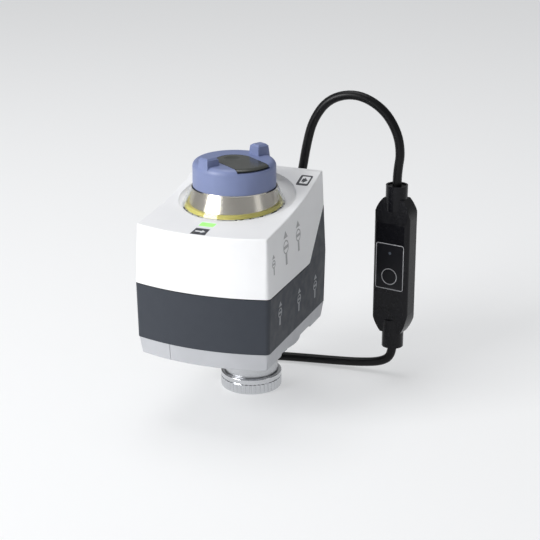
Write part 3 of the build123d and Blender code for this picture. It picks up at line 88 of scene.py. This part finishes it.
LEAD_ROUTE = [
    GLAND_TIP,
    (-26.0, -8.0, 22.5),
    (-25.9, -1.2, 12.6),
    (-24.6, 10.8, 6.2),
    (-20.4, 23.2, 3.2),
    (-11.5, 33.6, CABLE_RADIUS),
    (1.5, 38.8, 2.9),
    (18.0, 41.4, 3.1),
    (37.0, 43.0, 3.7),
    (55.5, 43.7, 4.9),
    (70.0, 44.0, 7.4),
    (*MODULE_AXIS, 13.0),
    (*MODULE_AXIS, MODULE_LOW_END),
]
SUPPLY_ROUTE = [
    (*MODULE_AXIS, MODULE_HIGH_END),
    (*MODULE_AXIS, 130.5),
    (78.3, 44.0, 142.5),
    (75.3, 44.0, 156.0),
    (66.0, 44.0, 168.9),
    (49.9, 44.0, 176.1),
    (33.0, 44.0, 171.6),
    (23.0, 44.1, 157.9),
    (18.9, 44.3, 142.0),
    (16.0, 44.7, 124.5),
    (11.8, 45.4, 107.0),
    (6.6, 46.5, 88.6),
    (1.0, 48.3, 69.4),
    (-5.0, 51.0, 50.6),
    (-10.0, 54.2, 34.2),
    (-12.7, 59.0, 21.8),
    (-14.0, 67.8, 13.1),
    (-14.25, 79.4, COIL_HIGH),
]
TAIL_ROUTE = [
    (-69.63, 62.04, COIL_LOW),
    (-62.9, 53.4, 3.3),
    (-55.0, 47.2, CABLE_RADIUS),
    (-45.7, 43.5, CABLE_RADIUS),
]


def step_between(value, start, end):
    """How far a value has gone from start to end, from 0 to 1."""
    return min(max((value - start) / (end - start), 0.0), 1.0)


def coil_points():
    """Four turns: outside and inside on top, then inside and outside below.

    The control points stand outside the cable's line, which touches the turns.
    """
    points = []
    step = COIL_END_ANGLE / COIL_POINTS
    stretch = 1 / math.cos(math.radians(step / 2))
    for index in range(COIL_POINTS):
        angle = (index + 0.5) * step
        inwards = step_between(angle, *COIL_STEP_IN) - step_between(angle, *COIL_STEP_OUT)
        downwards = step_between(angle, *COIL_STEP_DOWN)
        radius = COIL_OUTER_TURN + (COIL_INNER_TURN - COIL_OUTER_TURN) * inwards
        turn = math.radians(angle)
        points.append((
            COIL_CENTRE[0] + radius * stretch * math.cos(turn),
            COIL_CENTRE[1] + radius * stretch * math.sin(turn),
            COIL_HIGH + (COIL_LOW - COIL_HIGH) * downwards,
        ))
    return points


def cable_curve(name, points):
    """A round cable on a smooth line with these control points."""
    curve = bpy.data.curves.new(name, "CURVE")
    curve.dimensions = "3D"
    curve.resolution_u = CABLE_SMOOTHNESS
    curve.bevel_depth = CABLE_RADIUS * MM
    curve.bevel_resolution = CABLE_SMOOTHNESS
    curve.use_fill_caps = True
    spline = curve.splines.new("NURBS")
    spline.points.add(len(points) - 1)
    for spot, point in zip(spline.points, points):
        spot.co = (*mm(point), 1.0)
    spline.order_u = 3
    spline.use_endpoint_u = True
    return link(bpy.data.objects.new(name, curve))


def line_length(piece):
    """The length of a curve's own line."""
    bare = piece.data.copy()
    bare.bevel_depth = 0
    probe = bpy.data.objects.new("probe", bare)
    line = bpy.data.meshes.new_from_object(probe)
    spots = [vertex.co for vertex in line.vertices]
    length = sum((b - a).length for a, b in zip(spots, spots[1:]))
    bpy.data.objects.remove(probe)
    bpy.data.meshes.remove(line)
    bpy.data.curves.remove(bare)
    return length


lead_cable = cable_curve("lead_cable", LEAD_ROUTE)
supply_cable = cable_curve("supply_cable", SUPPLY_ROUTE + coil_points() + TAIL_ROUTE)


# Materials
def new_material(name):
    """A material with its node tree and its shader."""
    material = bpy.data.materials.new(name)
    material.use_nodes = True
    tree = material.node_tree
    return material, tree, tree.nodes["Principled BSDF"]


def noise(tree, scale, detail=4.0, stretch=(1, 1, 1)):
    """A noise pattern fixed to the object, in cycles per metre."""
    place = tree.nodes.new("ShaderNodeTexCoord")
    spread = tree.nodes.new("ShaderNodeMapping")
    spread.inputs["Scale"].default_value = stretch
    tree.links.new(place.outputs["Object"], spread.inputs["Vector"])
    pattern = tree.nodes.new("ShaderNodeTexNoise")
    pattern.inputs["Scale"].default_value = scale
    pattern.inputs["Detail"].default_value = detail
    tree.links.new(spread.outputs["Vector"], pattern.inputs["Vector"])
    return pattern


RAMP_START = 0.35
RAMP_END = 0.65


def vary(tree, pattern, low, high):
    """A ramp from one colour to another over the middle of a pattern's range."""
    ramp = tree.nodes.new("ShaderNodeValToRGB")
    ramp.color_ramp.elements[0].position = RAMP_START
    ramp.color_ramp.elements[1].position = RAMP_END
    ramp.color_ramp.elements[0].color = (*low, 1)
    ramp.color_ramp.elements[1].color = (*high, 1)
    tree.links.new(pattern.outputs["Fac"], ramp.inputs["Fac"])
    return ramp


def grain(tree, shader, scale, height, stretch=(1, 1, 1)):
    """A fine relief on the surface."""
    pattern = noise(tree, scale, 6.0, stretch)
    relief = tree.nodes.new("ShaderNodeBump")
    relief.inputs["Strength"].default_value = 1.0
    relief.inputs["Distance"].default_value = height
    tree.links.new(pattern.outputs["Fac"], relief.inputs["Height"])
    tree.links.new(relief.outputs["Normal"], shader.inputs["Normal"])


def shaded(colour, share):
    """A colour made darker or lighter."""
    return tuple(channel * share for channel in colour)


GRAIN_SCALE = 2600.0


def plastic(name, colour, rough, spread=0.06, patch=60.0, grain_height=0.00002, shine=0.5):
    """Moulded plastic or rubber with faint patches and a fine relief."""
    material, tree, shader = new_material(name)
    patches = noise(tree, patch, 5.0)
    tint = vary(tree, patches, shaded(colour, 1 - spread), shaded(colour, 1 + spread / 2))
    tree.links.new(tint.outputs["Color"], shader.inputs["Base Color"])
    dull = vary(tree, noise(tree, patch * 3, 3.0), (rough * 0.9,) * 3,
                (min(rough * 1.12, 1.0),) * 3)
    tree.links.new(dull.outputs["Color"], shader.inputs["Roughness"])
    shader.inputs["Specular IOR Level"].default_value = shine
    grain(tree, shader, GRAIN_SCALE, grain_height)
    return material


def metal(name, colour, rough, stretch=(1, 1, 1), scale=900.0, height=0.000008, change=0.1):
    """Metal with drawn or turned marks along one direction."""
    material, tree, shader = new_material(name)
    shader.inputs["Metallic"].default_value = 1.0
    marks = noise(tree, scale, 4.0, stretch)
    tint = vary(tree, marks, shaded(colour, 1 - change), shaded(colour, 1 + change / 2))
    tree.links.new(tint.outputs["Color"], shader.inputs["Base Color"])
    dull = vary(tree, marks, (rough * (1 - 2 * change),) * 3, (rough * (1 + 2 * change),) * 3)
    tree.links.new(dull.outputs["Color"], shader.inputs["Roughness"])
    grain(tree, shader, scale, height, stretch)
    return material


CLEAR_IOR = 1.45
CLEAR_PATCH = 90.0
CLEAR_SPREAD = 0.04


def glass(name, colour, weight, rough=0.03):
    """Clear or tinted moulded plastic that light passes."""
    material, tree, shader = new_material(name)
    tint = vary(tree, noise(tree, CLEAR_PATCH), shaded(colour, 1 - CLEAR_SPREAD), colour)
    tree.links.new(tint.outputs["Color"], shader.inputs["Base Color"])
    shader.inputs["Transmission Weight"].default_value = weight
    shader.inputs["Roughness"].default_value = rough
    shader.inputs["IOR"].default_value = CLEAR_IOR
    return material


# Colours of the main plastics
WHITE = (0.86, 0.865, 0.875)
BAND = (0.034, 0.04, 0.052)
BASE = (0.47, 0.48, 0.505)
KNOB = (0.185, 0.225, 0.4)
BLACK = (0.004, 0.004, 0.0045)

white_plastic = plastic("white_plastic", WHITE, 0.38, spread=0.015, grain_height=0.000012)
band_plastic = plastic("band_plastic", BAND, 0.5, spread=0.015, grain_height=0.000008,
                       shine=0.35)
base_plastic = plastic("base_plastic", BASE, 0.45, spread=0.04, grain_height=0.00002)
knob_plastic = plastic("knob_plastic", KNOB, 0.42, spread=0.05, grain_height=0.000015)
seal_rubber = plastic("seal_rubber", (0.01, 0.01, 0.01), 0.7)
plug_plastic = plastic("plug_plastic", (0.42, 0.44, 0.48), 0.5)
module_plastic = plastic("module_plastic", (0.006, 0.006, 0.008), 0.26, spread=0.1,
                         grain_height=0.000004, shine=0.2)
label_film = plastic("label_film", (0.011, 0.011, 0.014), 0.32, spread=0.1,
                     grain_height=0.000004, shine=0.2)
cable_jacket = plastic("cable_jacket", BLACK, 0.34, spread=0.2, patch=120.0,
                       grain_height=0.000006, shine=0.22)
lamp_lens = plastic("lamp_lens", (0.1, 0.12, 0.15), 0.3, spread=0.05)
insert_plastic = plastic("insert_plastic", (0.05, 0.054, 0.048), 0.2, spread=0.1,
                         grain_height=0.000008)
ring_plastic = plastic("ring_plastic", (0.95, 0.85, 0.22), 0.4, spread=0.03)
line_ink = plastic("line_ink", (0.5, 0.5, 0.52), 0.5, spread=0.05)
steel = metal("steel", (0.62, 0.62, 0.63), 0.3, stretch=(1, 1, 8))
nickel = metal("nickel", (0.66, 0.67, 0.69), 0.15, stretch=(1, 1, 0.2), scale=1500.0,
               height=0.0000005, change=0.04)
neck_metal = metal("neck_metal", (0.62, 0.63, 0.65), 0.38, stretch=(1, 1, 10))
plate_metal = metal("plate_metal", (0.66, 0.66, 0.64), 0.35, stretch=(8, 1, 1))
reflector_metal = metal("reflector_metal", (0.9, 0.84, 0.77), 0.24, stretch=(1, 1, 0.1),
                        scale=2500.0, height=0.0000001, change=0.02)
bronze = metal("bronze", (0.7, 0.47, 0.2), 0.35)
brass = metal("brass", (0.78, 0.62, 0.3), 0.3, stretch=(1, 1, 6))
copper = metal("copper", (0.75, 0.4, 0.22), 0.35)
clear_plastic = glass("clear_plastic", (0.97, 0.98, 0.97), 1.0)
guide_plastic = glass("guide_plastic", (0.42, 0.95, 0.3), 0.25, 0.15)
GUIDE_GLOW = (0.35, 1.0, 0.15)
GUIDE_GLOW_STRENGTH = 0.35
guide_shader = guide_plastic.node_tree.nodes["Principled BSDF"]
guide_shader.inputs["Emission Color"].default_value = (*GUIDE_GLOW, 1)
guide_shader.inputs["Emission Strength"].default_value = GUIDE_GLOW_STRENGTH
gear_plastic = plastic("gear_plastic", (0.78, 0.76, 0.68), 0.45)
board_green = plastic("board_green", (0.02, 0.17, 0.07), 0.35, spread=0.25, patch=300.0)
capacitor_film = plastic("capacitor_film", (0.03, 0.04, 0.09), 0.25)
relay_plastic = plastic("relay_plastic", (0.04, 0.08, 0.28), 0.35)
block_plastic = plastic("block_plastic", (0.06, 0.32, 0.13), 0.4)
led_plastic = plastic("led_plastic", (0.9, 0.9, 0.8), 0.3)

NODE_MATERIALS = {
    white_plastic: ["top_cover"],
    band_plastic: ["mid_housing"],
    base_plastic: ["base_tray", "terminal_cover"],
    seal_rubber: ["housing_gasket", "module_grommets", "cable_gland", "coil_tie"],
    plug_plastic: ["entry_plug"],
    steel: ["cover_screws", "terminal_screw", "neck_screws", "post_screws",
            "board_screws", "module_screws", "plate_posts", "board_pillars",
            "intermediate_axle", "spindle", "stem_coupler", "knob_shaft",
            "retaining_ring", "thrust_washer"],
    nickel: ["union_nut"],
    neck_metal: ["neck", "motor"],
    plate_metal: ["gear_plate", "motor_plate"],
    bronze: ["drive_bush", "knob_bush"],
    brass: ["drive_gear", "motor_pinion"],
    gear_plastic: ["intermediate_gear", "knob_gear"],
    knob_plastic: ["manual_knob"],
    insert_plastic: ["knob_insert"],
    clear_plastic: ["collar_lens"],
    reflector_metal: ["collar_reflector"],
    ring_plastic: ["indicator_ring"],
    board_green: ["main_board", "module_board"],
    capacitor_film: ["capacitors"],
    relay_plastic: ["relay"],
    block_plastic: ["terminal_block"],
    guide_plastic: ["status_window"],
    led_plastic: ["status_led"],
    lamp_lens: ["module_light"],
    module_plastic: ["module_front_shell", "module_rear_shell"],
    label_film: ["module_label", "module_button"],
    copper: ["cord_wires"],
    cable_jacket: ["lead_cord", "supply_cord", "cord_tail", "cord_coil"],
}
for material, names in NODE_MATERIALS.items():
    for name in names:
        mesh = NODES[name].data
        mesh.materials.clear()
        mesh.materials.append(material)

for cable in (lead_cable, supply_cable):
    cable.data.materials.append(cable_jacket)
    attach(cable, "housing")
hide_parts("lead_cord")
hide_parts("supply_cord", "cord_tail", "cord_coil")
line_length(lead_cable)
line_length(supply_cable)

# Module: light outline round the label, and round the button
MODULE_TURN = math.radians(-10.0)
MODULE_FACE = 6.8
LABEL_PROUD = 0.25
LABEL_LOW = 58.4
LABEL_HIGH = 87.4
LABEL_WIDTH = 18.6
LABEL_CORNER = 1.4
BUTTON_Z = 66.7
BUTTON_RING = 4.7
BUTTON_PROUD = 0.45


def module_point(across, forward, height):
    """A point on the module, from its own width, depth and height."""
    x_way = Vector((math.cos(MODULE_TURN), math.sin(MODULE_TURN), 0))
    y_way = Vector((math.sin(MODULE_TURN), -math.cos(MODULE_TURN), 0))
    centre = Vector((*MODULE_AXIS, 0))
    return (centre + x_way * across + y_way * forward + Vector((0, 0, height))) * MM


def flat_band(name, outer, inner, place, low, high, material, body):
    """A closed band between two outlines with as many points, raised from low to high."""
    form = bmesh.new()
    rings = [[form.verts.new(place(x, y, level)) for x, y in line]
             for line, level in ((outer, high), (inner, high), (inner, low), (outer, low))]
    count = len(outer)
    for ring, after in zip(rings, rings[1:] + rings[:1]):
        for index in range(count):
            nearby = (index + 1) % count
            form.faces.new((ring[index], ring[nearby], after[nearby], after[index]))
    bmesh.ops.recalc_face_normals(form, faces=form.faces)
    mesh = bpy.data.meshes.new(name)
    form.to_mesh(mesh)
    form.free()
    mesh.materials.append(material)
    piece = link(bpy.data.objects.new(name, mesh))
    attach(piece, body)
    return piece


CORNER_STEPS = 6


def round_rectangle(width, height, corner, middle):
    """Points round a rectangle with round corners."""
    points = []
    for side_x, side_y, start in ((1, 1, 0), (-1, 1, 90), (-1, -1, 180), (1, -1, 270)):
        for step in range(CORNER_STEPS + 1):
            turn = math.radians(start + 90 * step / CORNER_STEPS)
            points.append((
                middle[0] + side_x * (width / 2 - corner) + corner * math.cos(turn),
                middle[1] + side_y * (height / 2 - corner) + corner * math.sin(turn),
            ))
    return points


def circle(radius, middle, count=48):
    """Points round a circle."""
    turns = [2 * math.pi * index / count for index in range(count)]
    return [(middle[0] + radius * math.cos(turn), middle[1] + radius * math.sin(turn))
            for turn in turns]


def on_module(x, y, level):
    """A point of a drawing on the module's front, raised by level."""
    return module_point(x, MODULE_FACE + level, y)


LABEL_MIDDLE = (0.0, (LABEL_LOW + LABEL_HIGH) / 2)
LINE = 0.45
INK = 0.06
label_height = LABEL_HIGH - LABEL_LOW
flat_band("label_line",
          round_rectangle(LABEL_WIDTH, label_height, LABEL_CORNER, LABEL_MIDDLE),
          round_rectangle(LABEL_WIDTH - 2 * LINE, label_height - 2 * LINE,
                          LABEL_CORNER - LINE, LABEL_MIDDLE),
          on_module, LABEL_PROUD - INK, LABEL_PROUD + INK, line_ink, "housing")
flat_band("button_line", circle(BUTTON_RING + LINE, (0, BUTTON_Z)),
          circle(BUTTON_RING, (0, BUTTON_Z)), on_module, BUTTON_PROUD - INK,
          BUTTON_PROUD + INK, line_ink, "button")

# Generic pictograms on the cover and the band, as thin printed films
grey_ink = plastic("grey_ink", (0.42, 0.42, 0.43), 0.5, spread=0.05)
dark_ink = plastic("dark_ink", (0.05, 0.052, 0.06), 0.45, spread=0.05)
pale_ink = plastic("pale_ink", (0.3, 0.31, 0.33), 0.5, spread=0.05)
tile_glyph = plastic("tile_glyph", (0.8, 0.81, 0.82), 0.5, spread=0.03)
FILM = 0.05
STROKE = 0.75
RING_SHARE = 0.32
RING_POINTS = 32
FAR = 200.0


def skin(node):
    """A tree that finds points on a node's surface."""
    mesh = NODES[node].data
    return BVHTree.FromPolygons([vertex.co for vertex in mesh.vertices],
                                [face.vertices for face in mesh.polygons])


def seen_along(tree, start, way):
    """Where a flat point of a drawing lies on a surface, and how far it is raised."""
    def place(x, y, level):
        spot, normal, _, _ = tree.ray_cast(mm(start(x, y)), Vector(way))
        return spot + normal * level * MM
    return place


def flat_tile(name, line, place, low, high, material):
    """A closed thin plate inside one outline."""
    form = bmesh.new()
    top = [form.verts.new(place(x, y, high)) for x, y in line]
    bottom = [form.verts.new(place(x, y, low)) for x, y in line]
    form.faces.new(top)
    form.faces.new(bottom[::-1])
    count = len(line)
    for index in range(count):
        nearby = (index + 1) % count
        form.faces.new((top[nearby], top[index], bottom[index], bottom[nearby]))
    bmesh.ops.recalc_face_normals(form, faces=form.faces)
    mesh = bpy.data.meshes.new(name)
    form.to_mesh(mesh)
    form.free()
    mesh.materials.append(material)
    piece = link(bpy.data.objects.new(name, mesh))
    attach(piece, "housing")
    return piece


cover_skin = skin("top_cover")
band_skin = skin("mid_housing")
on_cover_top = seen_along(cover_skin, lambda x, y: (x, y, FAR), (0, 0, -1))
on_cover_side = seen_along(cover_skin, lambda y, z: (FAR, y, z), (-1, 0, 0))
on_band_side = seen_along(band_skin, lambda y, z: (FAR, y, z), (-1, 0, 0))

# Parts of a sign, in shares of its size, and the place and size of each sign
SIGN_PARTS = {
    "bar": [(-0.26, -0.07), (0.26, -0.07), (0.26, 0.07), (-0.26, 0.07)],
    "stem": [(-0.1, -0.82), (0.1, -0.82), (0.1, -0.32), (-0.1, -0.32)],
    "arrow": [(-0.26, 0.42), (0.26, 0.42), (0.0, 0.74)],
}
COVER_SIGNS = [((-65.0, 103.6), 7.5), ((-45.8, 107.5), 12.5), ((-26.0, 108.4), 11.5)]
BAND_SIGNS = [((-56.7, 72.5), 9.0), ((-26.0, 69.8), 9.0), ((1.4, 68.6), 9.5)]


def scaled(line, middle, size):
    """An outline given in shares of a size, about a middle."""
    return [(middle[0] + size * across, middle[1] + size * up) for across, up in line]


def dial_sign(name, middle, size, place, ink):
    """A ring with a bar across it, on a stem, with an arrow head above it."""
    radius = RING_SHARE * size
    flat_band(name + "_ring", circle(radius, middle, RING_POINTS),
              circle(radius - STROKE, middle, RING_POINTS), place, -FILM, FILM, ink,
              "housing")
    for part, line in SIGN_PARTS.items():
        flat_tile(f"{name}_{part}", scaled(line, middle, size), place, -FILM, FILM, ink)


for index, (middle, size) in enumerate(COVER_SIGNS):
    dial_sign(f"cover_sign_{index}", middle, size, on_cover_side, grey_ink)
for index, (middle, size) in enumerate(BAND_SIGNS):
    dial_sign(f"band_sign_{index}", middle, size, on_band_side, pale_ink)

# Tiles on the cover's top: a dark one with a pale arrow, and a frame with a dark arrow
STATUS_TILE = [(-4.6, -77.0), (4.2, -77.0), (3.6, -68.2), (-4.6, -68.2)]
STATUS_ARROW = [(-0.5, -0.12), (0.1, -0.12), (0.1, -0.34), (0.5, 0.0), (0.1, 0.34),
                (0.1, 0.12), (-0.5, 0.12)]
STATUS_ARROW_MIDDLE = (-0.3, -72.6)
STATUS_ARROW_SIZE = 6.0
CORNER_ARROW = [(30.2, 4.0), (31.3, 4.0), (31.3, 2.9), (33.5, 5.6), (31.3, 8.3),
                (31.3, 7.2), (30.2, 7.2)]
flat_tile("status_tile", STATUS_TILE, on_cover_top, -FILM, FILM, dark_ink)
flat_tile("status_tile_arrow", scaled(STATUS_ARROW, STATUS_ARROW_MIDDLE, STATUS_ARROW_SIZE),
          on_cover_top, 0, 2 * FILM, tile_glyph)
flat_band("corner_tile", round_rectangle(7.4, 10.6, 1.0, (31.7, 5.4)),
          round_rectangle(5.0, 7.4, 0.6, (31.9, 5.8)), on_cover_top, -FILM, FILM, dark_ink,
          "housing")
flat_tile("corner_tile_arrow", CORNER_ARROW, on_cover_top, -FILM, FILM, dark_ink)

# Floor: pale, and partly lit by itself where the camera or a shiny surface sees it
BACKDROP = (0.95, 0.958, 0.966)
FLOOR_REACH = 6.0
FLOOR_ROUGH = 0.9
OWN_LIGHT_SHARE = 0.45
floor_mesh = bpy.data.meshes.new("floor")
floor_mesh.from_pydata([(-FLOOR_REACH, -FLOOR_REACH, 0), (FLOOR_REACH, -FLOOR_REACH, 0),
                        (FLOOR_REACH, FLOOR_REACH, 0), (-FLOOR_REACH, FLOOR_REACH, 0)],
                       [], [(0, 1, 2, 3)])
floor_material, floor_tree, floor_shader = new_material("floor")
floor_shader.inputs["Base Color"].default_value = (*BACKDROP, 1)
floor_shader.inputs["Roughness"].default_value = FLOOR_ROUGH
floor_glow = floor_tree.nodes.new("ShaderNodeEmission")
floor_glow.inputs["Color"].default_value = (*BACKDROP, 1)
floor_mix = floor_tree.nodes.new("ShaderNodeMixShader")
floor_path = floor_tree.nodes.new("ShaderNodeLightPath")
floor_rays = floor_path.outputs["Is Camera Ray"]
for ray in ("Is Glossy Ray", "Is Transmission Ray"):
    either = floor_tree.nodes.new("ShaderNodeMath")
    either.operation = "ADD"
    either.use_clamp = True
    floor_tree.links.new(floor_rays, either.inputs[0])
    floor_tree.links.new(floor_path.outputs[ray], either.inputs[1])
    floor_rays = either.outputs[0]
floor_share = floor_tree.nodes.new("ShaderNodeMath")
floor_share.operation = "MULTIPLY"
floor_share.inputs[1].default_value = OWN_LIGHT_SHARE
floor_tree.links.new(floor_rays, floor_share.inputs[0])
floor_tree.links.new(floor_share.outputs[0], floor_mix.inputs["Fac"])
floor_tree.links.new(floor_shader.outputs[0], floor_mix.inputs[1])
floor_tree.links.new(floor_glow.outputs[0], floor_mix.inputs[2])
floor_out = floor_tree.nodes["Material Output"]
floor_tree.links.new(floor_mix.outputs[0], floor_out.inputs["Surface"])
floor_mesh.materials.append(floor_material)
link(bpy.data.objects.new("floor", floor_mesh))

# Sky, and three soft lamps aimed at the middle of the object's lower half
SKY = (0.97, 0.98, 1.0)
SKY_STRENGTH = 0.3
LAMP_TARGET = Vector((0, 0, 0.08))
world = bpy.data.worlds.new("studio")
world.use_nodes = True
sky = world.node_tree.nodes["Background"]
sky.inputs["Color"].default_value = (*SKY, 1)
sky.inputs["Strength"].default_value = SKY_STRENGTH
scene.world = world


def area_light(name, place, width, height, power):
    """A rectangular lamp, with its place and size in metres and its power in watts."""
    lamp = bpy.data.lights.new(name, "AREA")
    lamp.shape = "RECTANGLE"
    lamp.size = width
    lamp.size_y = height
    lamp.energy = power
    stand = link(bpy.data.objects.new(name, lamp))
    stand.location = place
    stand.rotation_euler = (LAMP_TARGET - Vector(place)).to_track_quat("-Z", "Y").to_euler()


area_light("key", (-0.85, -1.2, 0.75), 0.8, 0.9, 23.0)
area_light("top", (-0.2, 0.1, 1.3), 0.8, 0.8, 5.5)
area_light("side", (1.4, -0.1, 0.35), 0.4, 0.6, 0.5)
